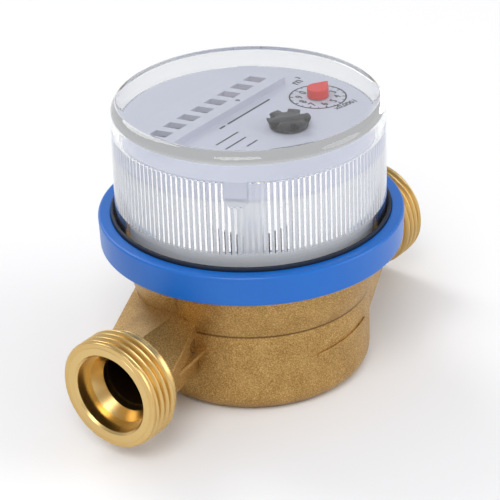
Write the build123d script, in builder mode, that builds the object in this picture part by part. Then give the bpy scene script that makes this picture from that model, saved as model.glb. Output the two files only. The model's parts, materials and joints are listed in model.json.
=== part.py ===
from build123d import *
import math
import os

os.makedirs("parts", exist_ok=True)

# A single-jet flow meter for a G 3/4 pipe thread. Lengths are in millimetres.
# X runs along the pipe with the outlet at -X, Z is up and the base stands on z = 0.

# Pipe ends
pipe_length = 110.0
pipe_axis_z = 16.4
thread_root_radius = 12.1
thread_boss_length = 9.0
thread_end_chamfer = 0.5
mouth_radius = 9.43
mouth_depth = 3.9
mouth_seat_radius = 8.4
passage_mouth_radius = 6.9
passage_cone_length = 2.6
passage_jet_radius = 4.4
passage_end_in_shell = 8.75
passage_end_y = 9.53

# Turned shell of the body
shell_radius = 27.75
base_round = 4.5
crease_z = 20.5
swell_radius = 29.45
swell_z = 26.0
drum_radius = 30.4
drum_full_z = 31.5
floor_thickness = 5.0
chamber_radius = 21.5
chamber_height = 25.6
seat_bore_radius = 27.0
plate_thickness = 5.4
plate_drop = 0.4
plate_side_gap = 0.2
snap_flange_step = 0.1
snap_flange_thickness = 2.0

# Cast necks between the thread bosses and the shell
ridge_rise_boss = 8.7
ridge_rise_shell = 9.1
flare_half_height = 3.6
flare_y_boss = 9.6
flare_y_shell = 21.17
side_y_boss = 9.9
side_y_shell = 1.554
side_drop_boss = 6.3
side_drop_shell = 0.9
neck_depth_in_shell = 7.75
neck_corner_round = 0.35
web_thickness = 1.0
web_end_gap = 0.4
web_outer_y = 8.4
web_depth_in_shell = 0.75
web_shell_y = 6.25
wire_hole_from_shell = 2.95
wire_hole_y = 4.7
wire_hole_radius = 0.7
wire_pocket_radius = 1.7
wire_pocket_height = 3.2
cast_line_start = (-10.6, 13.1)
cast_line_end = (7.3, 14.8)
cast_line_width = 0.8
cast_line_proud = 0.35
seam_width = 0.35
seam_proud = 0.2
seam_root = 2.0

# Wet side
running_gap = 0.06
turning_gap = 0.3
pivot_radius = 0.9
pivot_boss_radius = 3.4
pivot_boss_height = 1.4
pivot_depth = 3.9
pivot_rise = 3.6
jewel_radius = 1.6
jewel_height = 3.4
jewel_inset = 1.0
hub_radius = 3.6
hub_lift = 0.8
blade_count = 8
blade_tip_radius = 18.5
blade_root_radius = 2.0
blade_thickness = 1.2
blade_height = 15.5
blade_lift = 2.6
rotor_head_radius = 9.6
rotor_head_height = 4.4
rotor_top_gap = 0.6
rotor_recess_gap = 1.0
rotor_magnet_inner = 5.4
rotor_magnet_outer = 8.6
rotor_magnet_height = 2.8
spindle_radius = 0.8
bush_radius = 1.8
bush_length = 1.8
bush_boss_radius = 3.4
bush_boss_height = 2.4
o_ring_inner = 23.6
o_ring_outer = 25.8
o_ring_height = 1.5
magnet_cup_radius = 9.2
magnet_cup_wall = 0.8
magnet_cup_floor = 0.6
plate_web = 1.2
shield_inner = 10.4
shield_outer = 12.4
shield_height = 3.2

# Cover
ring_wall = 1.7
ring_draft = 0.25
ring_lip_overlap = 1.0
ring_lip_height = 1.8
ring_skirt_lip = 1.2
ring_edge_round = 0.6
ring_bore_gap = 0.25
cap_flange_radius = 34.0
cap_flange_thickness = 1.8
cap_outer_bottom = 32.0
cap_outer_top = 31.6
cap_total_height = 31.8
cap_inner_radius = 30.0
cap_window_thickness = 3.0
cap_edge_round = 2.6
rib_count = 140
rib_depth = 0.5
rib_start = 6.9
rib_height = 17.5
keyway_width = 5.4
keyway_height = 4.4
keyway_tip = 1.8
keyway_angles = (-149.5, 36.5)
keyway_rise = 0.3
key_foot_gap = 0.3
seal_height = 1.6

# Register
dial_radius = 29.3
dial_thickness = 1.5
dial_skirt_thickness = 1.0
dial_skirt_height = 4.8
dial_key_width = 5.0
dial_above_ribs = 0.2
housing_radius = 28.9
housing_wall = 1.0
housing_floor = 1.5
strip_front_y = 4.0
strip_back_y = 18.9
strip_left_front_x = -23.2
strip_left_back_x = -21.0
strip_right_x = 20.4
strip_height = 1.7
window_width = 3.0
window_length = 5.0
roller_count = 8
roller_pitch = 5.16
roller_first_x = 16.55
roller_y = 10.1
roller_radius = 5.0
roller_drop = 5.8
roller_pocket_gap = 0.5
roller_drum_width = 3.2
roller_side_width = 0.8
roller_bore = 0.8
roller_gear_teeth = 20
roller_gear_module = 0.42
carry_disc_radius = 3.55
transfer_teeth = 8
transfer_behind = 4.0
transfer_bore = 0.6
transfer_width = 1.7
worm_wheel_width = 1.4
worm_wheel_spacer = 1.0
worm_wheel_hub_radius = 2.6
worm_wheel_pitch_radius = 4.55
worm_tooth_height = 0.8
worm_root_radius = 1.5
worm_length = 7.0
worm_mesh_gap = 0.1
bracket_thickness = 0.9
bracket_left_gap = 1.1
train_plate_thickness = 1.4
train_plate_gap = 10.5
train_ledge = 1.2
train_plate_side_gap = 0.1

# Gear train
arbor_radius = 0.75
gear_width = 1.0
follower_teeth = 8
second_wheel_teeth = 48
second_pinion_teeth = 10
pointer_wheel_teeth = 20
pointer_drive_teeth = 24
worm_pinion_teeth = 12
star_wheel_teeth = 54
first_module = 0.352
second_arbor_angle = -12.0
star_arbor_angle = -85.55
pointer_arbor_x = 18.1
pointer_arbor_y = -7.04
star_base_radius = 4.6
star_top_radius = 5.15
star_height = 2.2
star_notches = 8
star_notch_radius = 0.8
star_notch_depth = 1.3
pointer_hub_radius = 2.55
pointer_height = 2.4
pointer_tip_length = 4.4
pointer_angle = 3.0
dial_part_gap = 0.3

# Worked out from the values above
end_x = pipe_length / 2
mouth_floor_x = end_x - mouth_depth
passage_start_x = mouth_floor_x - passage_cone_length
boss_inner_x = end_x - thread_boss_length
neck_inner_x = shell_radius - neck_depth_in_shell
web_outer_x = boss_inner_x - web_end_gap
web_shell_x = shell_radius - web_depth_in_shell
wire_hole_x = shell_radius + wire_hole_from_shell
seat_z = floor_thickness + chamber_height
plate_top_z = seat_z + plate_thickness
body_top_z = plate_top_z + plate_drop
snap_z = body_top_z - snap_flange_thickness
ring_bottom_z = snap_z - ring_skirt_lip
cap_bottom_z = body_top_z + turning_gap
cap_flange_top_z = cap_bottom_z + cap_flange_thickness
ring_lip_z = cap_flange_top_z + turning_gap
ring_top_z = ring_lip_z + ring_lip_height
ring_cavity_radius = cap_flange_radius + turning_gap
ring_outer_top = ring_cavity_radius + ring_wall
ring_outer_bottom = ring_outer_top - ring_draft
ring_lip_inner = cap_flange_radius - ring_lip_overlap
snap_flange_radius = cap_flange_radius + snap_flange_step
cap_top_z = cap_bottom_z + cap_total_height
window_under_z = cap_top_z - cap_window_thickness
rib_bottom_z = cap_bottom_z + rib_start
rib_top_z = rib_bottom_z + rib_height
dial_top_z = rib_top_z + dial_above_ribs
dial_under_z = dial_top_z - dial_thickness
housing_z = body_top_z + turning_gap
housing_floor_top_z = housing_z + housing_floor
housing_rim_z = dial_top_z - dial_skirt_height
magnet_cup_z = seat_z + plate_web + turning_gap
magnet_cup_top_z = magnet_cup_z + magnet_cup_floor
train_plate_z = housing_floor_top_z + train_plate_gap
train_plate_top_z = train_plate_z + train_plate_thickness
roller_z = dial_top_z - roller_drop
outlet_turns = (0, 180)


def ring_profile(points):
    # A closed section in the sketch's plane, given as pairs of radius and height
    Polygon(*points, align=None)


def tooth_points(teeth, module, phase):
    # Straight-flanked teeth, thin enough to leave backlash
    pitch_radius = module * teeth / 2
    tip_radius = pitch_radius + 0.8 * module
    root_radius = pitch_radius - 1.15 * module
    step = 360 / teeth
    corners = ((root_radius, -0.3), (tip_radius, -0.1), (tip_radius, 0.1), (root_radius, 0.3))
    points = []
    for tooth in range(teeth):
        for radius, share in corners:
            angle = math.radians(phase + (tooth + share) * step)
            points.append((radius * math.cos(angle), radius * math.sin(angle)))
    return points


def gear_plane(position, z):
    return Plane(origin=(position[0], position[1], z))


def finish(solid, name):
    solid.label = name
    export_step(solid, f"parts/{name}.step")


# Cast brass body: shell, both necks, both thread bosses and all passages in one piece
with BuildPart() as neck:
    section_planes = (Plane.YZ.offset(-boss_inner_x), Plane.YZ.offset(-neck_inner_x))
    sections = (
        (ridge_rise_boss, flare_y_boss, side_y_boss, ridge_rise_boss - side_drop_boss),
        (ridge_rise_shell, flare_y_shell, side_y_shell, ridge_rise_shell - side_drop_shell),
    )
    for plane, (ridge, flare, side, side_rise) in zip(section_planes, sections):
        with BuildSketch(plane):
            Polygon(
                (0, pipe_axis_z + ridge),
                (flare, pipe_axis_z + flare_half_height),
                (flare, pipe_axis_z - flare_half_height),
                (0, pipe_axis_z - ridge),
                (-side, pipe_axis_z - side_rise),
                (-side, pipe_axis_z + side_rise),
                align=None,
            )
    loft(ruled=True)
    fillet(neck.edges().filter_by(lambda edge: abs(edge.tangent_at(0.5).X) > 0.7), neck_corner_round)

with BuildPart() as web:
    with BuildSketch(Plane.XY.offset(pipe_axis_z - web_thickness / 2)):
        Polygon(
            (-web_outer_x, -web_outer_y),
            (-web_shell_x, -web_shell_y),
            (-neck_inner_x, 0),
            (-web_outer_x, 0),
            align=None,
        )
    extrude(amount=web_thickness)

with BuildPart() as cast_line:
    with BuildSketch(Plane.XZ):
        with BuildLine():
            Line(cast_line_start, cast_line_end)
        trace(line_width=cast_line_width)
    extrude(amount=shell_radius + 2 * cast_line_proud)
    with BuildSketch(Plane.XY):
        Circle(shell_radius + cast_line_proud)
    extrude(amount=crease_z, mode=Mode.INTERSECT)

with BuildPart() as seam:
    with BuildSketch(Plane.XZ):
        with BuildLine():
            ThreePointArc(
                (shell_radius + seam_proud, crease_z),
                (swell_radius + seam_proud, swell_z),
                (drum_radius + seam_proud, drum_full_z),
            )
            Polyline(
                (drum_radius + seam_proud, drum_full_z),
                (drum_radius + seam_proud, snap_z),
                (drum_radius - seam_root, snap_z),
                (drum_radius - seam_root, drum_full_z),
                (shell_radius - seam_root, crease_z),
                (shell_radius + seam_proud, crease_z),
            )
        make_face()
    extrude(amount=seam_width / 2, both=True)

jet_x = shell_radius - passage_end_in_shell
passage_slope = passage_end_y / (passage_start_x - jet_x)
jet_plane = Plane(origin=(-jet_x, passage_end_y, pipe_axis_z), z_dir=(1, passage_slope, 0), x_dir=(0, 0, 1))
mouth_plane = Plane(origin=(-passage_start_x, 0, pipe_axis_z), z_dir=(1, 0, 0), x_dir=(0, 0, 1))
with BuildPart() as passage:
    with BuildSketch(mouth_plane):
        Circle(passage_mouth_radius)
    with BuildSketch(jet_plane):
        Circle(passage_jet_radius)
    loft()
    with BuildSketch(Plane.XZ):
        ring_profile((
            (-end_x, pipe_axis_z),
            (-end_x, pipe_axis_z + mouth_radius),
            (-mouth_floor_x, pipe_axis_z + mouth_radius),
            (-mouth_floor_x, pipe_axis_z + mouth_seat_radius),
            (-passage_start_x, pipe_axis_z + passage_mouth_radius),
            (-passage_start_x, pipe_axis_z),
        ))
    revolve(axis=Axis((0, 0, pipe_axis_z), (1, 0, 0)))

with BuildPart() as brass_body:
    with BuildSketch(Plane.XZ):
        with BuildLine():
            Polyline((0, seat_z), (0, 0), (shell_radius - base_round, 0))
            round_share = base_round * math.sqrt(0.5)
            ThreePointArc(
                (shell_radius - base_round, 0),
                (shell_radius - base_round + round_share, base_round - round_share),
                (shell_radius, base_round),
            )
            Line((shell_radius, base_round), (shell_radius, crease_z))
            ThreePointArc((shell_radius, crease_z), (swell_radius, swell_z), (drum_radius, drum_full_z))
            Polyline(
                (drum_radius, drum_full_z),
                (drum_radius, snap_z),
                (snap_flange_radius, snap_z),
                (snap_flange_radius, body_top_z),
                (seat_bore_radius, body_top_z),
                (seat_bore_radius, seat_z),
                (0, seat_z),
            )
        make_face()
    revolve(axis=Axis.Z)
    for turn in outlet_turns:
        add(neck.part.rotate(Axis.Z, turn))
        add(web.part.rotate(Axis.Z, turn))
        add(seam.part.rotate(Axis.Z, turn))
    for side_x in (-1, 1):
        with BuildSketch(Plane.YZ.offset(side_x * boss_inner_x)):
            with Locations((0, pipe_axis_z)):
                Circle(thread_root_radius)
        extrude(amount=side_x * thread_boss_length)
    add(cast_line.part)
    with BuildSketch(Plane.XY.offset(floor_thickness)):
        Circle(chamber_radius)
    extrude(amount=chamber_height, mode=Mode.SUBTRACT)
    with BuildSketch(Plane.XY.offset(seat_z - o_ring_height)):
        Circle(o_ring_outer)
        Circle(o_ring_inner, mode=Mode.SUBTRACT)
    extrude(amount=o_ring_height, mode=Mode.SUBTRACT)
    with BuildSketch(Plane.XY.offset(floor_thickness)):
        Circle(pivot_boss_radius)
    extrude(amount=pivot_boss_height)
    with BuildSketch(Plane.XY.offset(floor_thickness + pivot_boss_height)):
        Circle(pivot_radius)
    extrude(amount=-pivot_depth, mode=Mode.SUBTRACT)
    for turn in outlet_turns:
        add(passage.part.rotate(Axis.Z, turn), mode=Mode.SUBTRACT)
    for sign in (-1, 1):
        with BuildSketch(Plane.XY.offset(pipe_axis_z - web_thickness)):
            with Locations((sign * wire_hole_x, sign * wire_hole_y)):
                Circle(wire_hole_radius)
        extrude(amount=2 * web_thickness, mode=Mode.SUBTRACT)
        with BuildSketch(Plane.XY.offset(pipe_axis_z + web_thickness / 2)):
            with Locations((sign * wire_hole_x, sign * wire_hole_y)):
                Circle(wire_pocket_radius)
        extrude(amount=wire_pocket_height, mode=Mode.SUBTRACT)
    end_faces = brass_body.faces().filter_by(Axis.X).filter_by(lambda face: abs(face.center().X) > end_x - 0.01)
    chamfer(end_faces.edges().filter_by(GeomType.CIRCLE), thread_end_chamfer)
finish(brass_body.part, "brass_body")

# Strainer that stands on the inlet's seat
strainer_rim = 0.8
strainer_wall = 0.6
strainer_depth = 5.0
strainer_tip_radius = 5.0
strainer_bars = 12
strainer_slot = 1.6
strainer_side_gap = 0.1
strainer_step = 1.3
strainer_land = 1.2
strainer_bar_width = 3.6
strainer_outer = mouth_radius - strainer_side_gap
strainer_root = mouth_seat_radius - strainer_step
with BuildPart() as inlet_strainer:
    rim_x = mouth_floor_x + strainer_rim
    tip_x = mouth_floor_x - strainer_depth
    with BuildSketch(Plane.XZ):
        ring_profile((
            (mouth_floor_x, pipe_axis_z + strainer_outer),
            (rim_x, pipe_axis_z + strainer_outer),
            (rim_x, pipe_axis_z + strainer_root - strainer_wall),
            (tip_x + strainer_wall, pipe_axis_z + strainer_tip_radius - strainer_wall),
            (tip_x + strainer_wall, pipe_axis_z),
            (tip_x, pipe_axis_z),
            (tip_x, pipe_axis_z + strainer_tip_radius),
            (mouth_floor_x, pipe_axis_z + strainer_root),
        ))
    revolve(axis=Axis((0, 0, pipe_axis_z), (1, 0, 0)))
    with BuildSketch(Plane.YZ.offset(tip_x - strainer_wall)):
        with Locations((0, pipe_axis_z)):
            with PolarLocations(strainer_tip_radius - strainer_bar_width / 2, strainer_bars):
                Rectangle(strainer_bar_width - strainer_wall, strainer_slot / 2)
            Circle(strainer_slot / 2)
    extrude(amount=3 * strainer_wall, mode=Mode.SUBTRACT)
    with BuildSketch(Plane.YZ.offset(tip_x + strainer_land)):
        with Locations((0, pipe_axis_z)):
            with PolarLocations(strainer_root, strainer_bars):
                Rectangle(strainer_root, strainer_slot)
    extrude(amount=strainer_depth - 2 * strainer_land, mode=Mode.SUBTRACT)
finish(inlet_strainer.part, "inlet_strainer")

# Impeller on its pivot
pivot_top_z = floor_thickness + pivot_boss_height + pivot_rise
pivot_foot_z = floor_thickness + pivot_boss_height - pivot_depth
hub_bottom_z = floor_thickness + pivot_boss_height + hub_lift
rotor_top_z = seat_z - rotor_top_gap
rotor_head_z = rotor_top_z - rotor_head_height
jewel_bottom_z = hub_bottom_z + jewel_inset
bush_bottom_z = seat_z - bush_boss_height
recess_radius = bush_boss_radius + rotor_recess_gap
recess_z = bush_bottom_z - rotor_top_gap
blade_bottom_z = floor_thickness + blade_lift
spindle_depth = 2.6
with BuildPart() as pivot_pin:
    with BuildSketch(Plane.XY.offset(pivot_foot_z)):
        Circle(pivot_radius)
    extrude(amount=pivot_top_z - pivot_foot_z)
    fillet(pivot_pin.edges().group_by(Axis.Z)[-1], pivot_radius / 3)
finish(pivot_pin.part, "pivot_pin")

with BuildPart() as lower_jewel:
    with BuildSketch(Plane.XY.offset(jewel_bottom_z)):
        Circle(jewel_radius)
    extrude(amount=jewel_height)
    with BuildSketch(Plane.XY.offset(jewel_bottom_z)):
        Circle(pivot_radius + running_gap)
    extrude(amount=pivot_top_z - jewel_bottom_z + running_gap, mode=Mode.SUBTRACT)
finish(lower_jewel.part, "lower_jewel")

with BuildPart() as impeller:
    with BuildSketch(Plane.XY.offset(hub_bottom_z)):
        Circle(hub_radius)
    extrude(amount=rotor_head_z - hub_bottom_z)
    with BuildSketch(Plane.XY.offset(rotor_head_z)):
        Circle(rotor_head_radius)
    extrude(amount=rotor_head_height)
    with BuildSketch(Plane.XY.offset(blade_bottom_z)):
        with PolarLocations((blade_tip_radius + blade_root_radius) / 2, blade_count):
            Rectangle(blade_tip_radius - blade_root_radius, blade_thickness)
    extrude(amount=blade_height)
    with BuildSketch(Plane.XY.offset(recess_z)):
        Circle(recess_radius)
    extrude(amount=rotor_top_z - recess_z, mode=Mode.SUBTRACT)
    with BuildSketch(Plane.XY.offset(rotor_top_z - rotor_magnet_height)):
        Circle(rotor_magnet_outer)
        Circle(rotor_magnet_inner, mode=Mode.SUBTRACT)
    extrude(amount=rotor_magnet_height, mode=Mode.SUBTRACT)
    with BuildSketch(Plane.XY.offset(hub_bottom_z)):
        Circle(jewel_radius)
    extrude(amount=jewel_bottom_z + jewel_height - hub_bottom_z, mode=Mode.SUBTRACT)
    with BuildSketch(Plane.XY.offset(recess_z)):
        Circle(spindle_radius)
    extrude(amount=-spindle_depth, mode=Mode.SUBTRACT)
finish(impeller.part, "impeller")

with BuildPart() as impeller_magnet:
    with BuildSketch(Plane.XY.offset(rotor_top_z - rotor_magnet_height)):
        Circle(rotor_magnet_outer)
        Circle(rotor_magnet_inner, mode=Mode.SUBTRACT)
    extrude(amount=rotor_magnet_height)
finish(impeller_magnet.part, "impeller_magnet")

with BuildPart() as impeller_spindle:
    with BuildSketch(Plane.XY.offset(recess_z - spindle_depth)):
        Circle(spindle_radius)
    extrude(amount=bush_bottom_z + bush_length - recess_z + spindle_depth - turning_gap)
finish(impeller_spindle.part, "impeller_spindle")

with BuildPart() as guide_bush:
    with BuildSketch(Plane.XY.offset(bush_bottom_z)):
        Circle(bush_radius)
        Circle(spindle_radius + running_gap, mode=Mode.SUBTRACT)
    extrude(amount=bush_length)
finish(guide_bush.part, "guide_bush")

# Pressure plate between the wet and the dry side, with its seal and the magnetic shield
with BuildPart() as separating_plate:
    with BuildSketch(Plane.XY.offset(seat_z)):
        Circle(seat_bore_radius - plate_side_gap)
    extrude(amount=plate_thickness)
    with BuildSketch(Plane.XY.offset(bush_bottom_z)):
        Circle(bush_boss_radius)
    extrude(amount=bush_boss_height)
    with BuildSketch(Plane.XY.offset(bush_bottom_z)):
        Circle(bush_radius)
    extrude(amount=bush_length, mode=Mode.SUBTRACT)
    with BuildSketch(Plane.XY.offset(plate_top_z)):
        Circle(magnet_cup_radius + turning_gap)
    extrude(amount=-(plate_thickness - plate_web), mode=Mode.SUBTRACT)
    with BuildSketch(Plane.XY.offset(plate_top_z)):
        Circle(shield_outer)
        Circle(shield_inner, mode=Mode.SUBTRACT)
    extrude(amount=-shield_height, mode=Mode.SUBTRACT)
finish(separating_plate.part, "separating_plate")

with BuildPart() as plate_o_ring:
    with BuildSketch(Plane.XY.offset(seat_z - o_ring_height)):
        Circle(o_ring_outer)
        Circle(o_ring_inner, mode=Mode.SUBTRACT)
    extrude(amount=o_ring_height)
finish(plate_o_ring.part, "plate_o_ring")

with BuildPart() as shield_ring:
    with BuildSketch(Plane.XY.offset(plate_top_z)):
        Circle(shield_outer)
        Circle(shield_inner, mode=Mode.SUBTRACT)
    extrude(amount=-shield_height)
finish(shield_ring.part, "shield_ring")

# Snap ring that clips under the body's flange and over the cap's flange
with BuildPart() as clamp_ring:
    with BuildSketch(Plane.XZ):
        ring_profile((
            (drum_radius + ring_bore_gap, ring_bottom_z),
            (ring_outer_bottom, ring_bottom_z),
            (ring_outer_top, ring_top_z),
            (ring_lip_inner, ring_top_z),
            (ring_lip_inner, ring_lip_z),
            (ring_cavity_radius, ring_lip_z),
            (ring_cavity_radius, snap_z),
            (drum_radius + ring_bore_gap, snap_z),
        ))
    revolve(axis=Axis.Z)
    outer_edges = clamp_ring.edges().filter_by(GeomType.CIRCLE).filter_by(
        lambda edge: edge.radius > ring_outer_bottom - 0.01
    )
    fillet(outer_edges, ring_edge_round)
    lip_edge = clamp_ring.edges().filter_by(GeomType.CIRCLE).filter_by(
        lambda edge: abs(edge.radius - ring_lip_inner) < 0.01 and edge.center().Z > ring_top_z - 0.01
    )
    fillet(lip_edge, ring_edge_round / 2)
finish(clamp_ring.part, "clamp_ring")

with BuildPart() as cap_seal:
    with BuildSketch(Plane.XY.offset(ring_lip_z)):
        Circle(ring_lip_inner)
        Circle(cap_outer_bottom + turning_gap, mode=Mode.SUBTRACT)
    extrude(amount=seal_height)
finish(cap_seal.part, "cap_seal")


# Clear cap, ribbed inside, with two keyways at the top of the ribs
def keyway_outline():
    top_z = rib_top_z + keyway_rise
    shoulder_z = top_z - keyway_height
    Polygon(
        (-keyway_width / 2, top_z),
        (keyway_width / 2, top_z),
        (keyway_width / 2, shoulder_z),
        (keyway_width / 4, shoulder_z - keyway_tip),
        (-keyway_width / 4, shoulder_z - keyway_tip),
        (-keyway_width / 2, shoulder_z),
        align=None,
    )


rib_points = []
for index in range(2 * rib_count):
    rib_radius = cap_inner_radius - rib_depth * (index % 2)
    rib_angle = math.pi * index / rib_count
    rib_points.append((rib_radius * math.cos(rib_angle), rib_radius * math.sin(rib_angle)))

with BuildPart() as clear_cap:
    with BuildSketch(Plane.XZ):
        with BuildLine():
            Polyline(
                (0, window_under_z),
                (0, cap_top_z),
                (cap_outer_top, cap_top_z),
                (cap_outer_bottom, cap_flange_top_z),
                (cap_flange_radius, cap_flange_top_z),
                (cap_flange_radius, cap_bottom_z),
                (cap_inner_radius, cap_bottom_z),
                (cap_inner_radius, window_under_z),
                close=True,
            )
        make_face()
        cap_corner = vertices().filter_by(lambda point: point.X > 1).sort_by(Axis.Y)[-1]
        fillet(cap_corner, cap_edge_round)
    revolve(axis=Axis.Z)
    with BuildSketch(Plane.XY.offset(rib_bottom_z)):
        Circle(cap_inner_radius + 0.2)
        Polygon(*rib_points, align=None, mode=Mode.SUBTRACT)
    extrude(amount=rib_height)
    for keyway_angle in keyway_angles:
        key_direction = (math.cos(math.radians(keyway_angle)), math.sin(math.radians(keyway_angle)), 0)
        with BuildSketch(Plane(origin=(0, 0, 0), z_dir=key_direction, x_dir=(-key_direction[1], key_direction[0], 0))):
            keyway_outline()
        extrude(amount=cap_inner_radius, mode=Mode.SUBTRACT)
finish(clear_cap.part, "clear_cap")


# Places of the gear train, chosen so that each pair meshes at its pitch circles
def reach(distance, angle):
    return (distance * math.cos(math.radians(angle)), distance * math.sin(math.radians(angle)))


def bearing(start, end):
    return math.degrees(math.atan2(end[1] - start[1], end[0] - start[0]))


def mesh_phase(start, end, driver_phase, driver_teeth, driven_teeth):
    # Where the driven gear has a tooth, so that its gaps meet the driver's teeth
    angle = bearing(start, end)
    share = (driver_phase - angle) / (360 / driver_teeth) % 1
    return angle + 180 - (share - 0.5) * 360 / driven_teeth


pointer_place = (pointer_arbor_x, pointer_arbor_y)
follower_place = (0, 0)
second_place = reach(first_module * (follower_teeth + second_wheel_teeth) / 2, second_arbor_angle)
star_place = reach(first_module * (follower_teeth + star_wheel_teeth) / 2, star_arbor_angle)
worm_centre_distance = worm_wheel_pitch_radius + worm_root_radius + worm_tooth_height / 2 + worm_mesh_gap
worm_place = (
    roller_first_x + (roller_drum_width + worm_wheel_width) / 2 + worm_wheel_spacer,
    roller_y - worm_centre_distance,
)
second_module = 2 * math.dist(second_place, pointer_place) / (second_pinion_teeth + pointer_wheel_teeth)
third_module = 2 * math.dist(worm_place, pointer_place) / (pointer_drive_teeth + worm_pinion_teeth)
star_level = housing_floor_top_z + 1.0
second_level = star_level + 1.8
third_level = second_level + 2.0
worm_level = third_level + 2.0
level_overlap = 0.3
pivot_z = housing_floor_top_z - housing_floor / 2
arbor_places = (second_place, star_place, pointer_place, worm_place)

# Register housing: a cup whose magnet cup hangs in the pressure plate's pocket
with BuildPart() as register_housing:
    with BuildSketch(Plane.XZ):
        ring_profile((
            (0, magnet_cup_z),
            (magnet_cup_radius, magnet_cup_z),
            (magnet_cup_radius, housing_z),
            (housing_radius, housing_z),
            (housing_radius, housing_rim_z),
            (housing_radius - housing_wall, housing_rim_z),
            (housing_radius - housing_wall, train_plate_z),
            (housing_radius - 2 * housing_wall, train_plate_z),
            (housing_radius - 2 * housing_wall, train_plate_z - train_ledge + housing_wall),
            (housing_radius - housing_wall, train_plate_z - train_ledge),
            (housing_radius - housing_wall, housing_floor_top_z),
            (magnet_cup_radius - magnet_cup_wall, housing_floor_top_z),
            (magnet_cup_radius - magnet_cup_wall, magnet_cup_top_z),
            (0, magnet_cup_top_z),
        ))
    revolve(axis=Axis.Z)
    with BuildSketch(Plane.XY.offset(pivot_z - running_gap)):
        with Locations(*arbor_places):
            Circle(arbor_radius + running_gap)
    extrude(amount=housing_floor, mode=Mode.SUBTRACT)
finish(register_housing.part, "register_housing")

# Train plate with the two brackets that carry the roller shaft and the transfer shaft
bracket_top_z = roller_z + 2 * roller_bore
bracket_left_x = roller_first_x - (roller_count - 1) * roller_pitch - roller_drum_width / 2 - bracket_left_gap
bracket_right_x = worm_place[0] + worm_wheel_width / 2 + turning_gap
bracket_foot = 3.0
bracket_edge = 1.1
transfer_distance = roller_gear_module * (roller_gear_teeth + transfer_teeth) / 2
transfer_y = roller_y + transfer_behind
transfer_z = roller_z - math.sqrt(transfer_distance**2 - transfer_behind**2)
roller_shaft_radius = roller_bore - running_gap
transfer_shaft_radius = transfer_bore - running_gap
shaft_seat_gap = 0.02
with BuildPart() as train_plate:
    with BuildSketch(Plane.XY.offset(train_plate_z)):
        Circle(housing_radius - housing_wall - train_plate_side_gap)
    extrude(amount=train_plate_thickness)
    for bracket_x, side in ((bracket_left_x, -1), (bracket_right_x, 1)):
        with BuildSketch(Plane.YZ.offset(bracket_x)):
            Polygon(
                (roller_y - bracket_foot, train_plate_top_z - 0.1),
                (transfer_y + bracket_edge, train_plate_top_z - 0.1),
                (transfer_y + bracket_edge, transfer_z + bracket_edge),
                (roller_y + bracket_foot / 2, bracket_top_z),
                (roller_y - bracket_foot / 2, bracket_top_z),
                align=None,
            )
        extrude(amount=side * bracket_thickness)
    with BuildSketch(Plane.YZ.offset(bracket_left_x - 2 * bracket_thickness)):
        with Locations((roller_y, roller_z)):
            Circle(roller_shaft_radius + shaft_seat_gap)
        with Locations((transfer_y, transfer_z)):
            Circle(transfer_shaft_radius + shaft_seat_gap)
    extrude(amount=bracket_right_x - bracket_left_x + 4 * bracket_thickness, mode=Mode.SUBTRACT)
    with BuildSketch(Plane.XY.offset(train_plate_z)):
        with Locations(follower_place, *arbor_places):
            Circle(arbor_radius + running_gap)
    extrude(amount=train_plate_thickness, mode=Mode.SUBTRACT)
    with BuildSketch(Plane.XY.offset(transfer_z - transfer_distance / 2)):
        with Locations(((bracket_left_x + bracket_right_x) / 2, transfer_y)):
            Rectangle(bracket_right_x - bracket_left_x - 1.0, transfer_distance - 1.6)
    extrude(amount=transfer_distance, mode=Mode.SUBTRACT)
finish(train_plate.part, "train_plate")

# Upright arbors: each has its wheel and pinion moulded on
with BuildPart() as follower_shaft:
    with BuildSketch(gear_plane(follower_place, magnet_cup_top_z + running_gap)):
        Circle(arbor_radius)
    extrude(amount=train_plate_top_z - magnet_cup_top_z - running_gap)
    with BuildSketch(gear_plane(follower_place, star_level - level_overlap)):
        Polygon(*tooth_points(follower_teeth, first_module, 0), align=None)
    extrude(amount=second_level + gear_width - star_level + 2 * level_overlap)
finish(follower_shaft.part, "follower_shaft")

follower_magnet_lift = 0.8
follower_magnet_height = 2.0
with BuildPart() as follower_magnet:
    with BuildSketch(gear_plane(follower_place, magnet_cup_top_z + follower_magnet_lift)):
        Circle(magnet_cup_radius - magnet_cup_wall - turning_gap)
        Circle(arbor_radius, mode=Mode.SUBTRACT)
    extrude(amount=follower_magnet_height)
finish(follower_magnet.part, "follower_magnet")

second_phase = mesh_phase(follower_place, second_place, 0, follower_teeth, second_wheel_teeth)
with BuildPart() as second_arbor:
    with BuildSketch(gear_plane(second_place, pivot_z)):
        Circle(arbor_radius)
    extrude(amount=train_plate_top_z - pivot_z)
    with BuildSketch(gear_plane(second_place, second_level)):
        Polygon(*tooth_points(second_wheel_teeth, first_module, second_phase), align=None)
    extrude(amount=gear_width)
    with BuildSketch(gear_plane(second_place, third_level - level_overlap)):
        Polygon(*tooth_points(second_pinion_teeth, second_module, 0), align=None)
    extrude(amount=gear_width + 2 * level_overlap)
finish(second_arbor.part, "second_arbor")

star_phase = mesh_phase(follower_place, star_place, 0, follower_teeth, star_wheel_teeth)
star_bore_depth = 1.2
star_arbor_top_z = dial_top_z + dial_part_gap + star_bore_depth
with BuildPart() as star_arbor:
    with BuildSketch(gear_plane(star_place, pivot_z)):
        Circle(arbor_radius)
    extrude(amount=star_arbor_top_z - pivot_z)
    with BuildSketch(gear_plane(star_place, star_level)):
        Polygon(*tooth_points(star_wheel_teeth, first_module, star_phase), align=None)
    extrude(amount=gear_width)
finish(star_arbor.part, "star_arbor")

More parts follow.
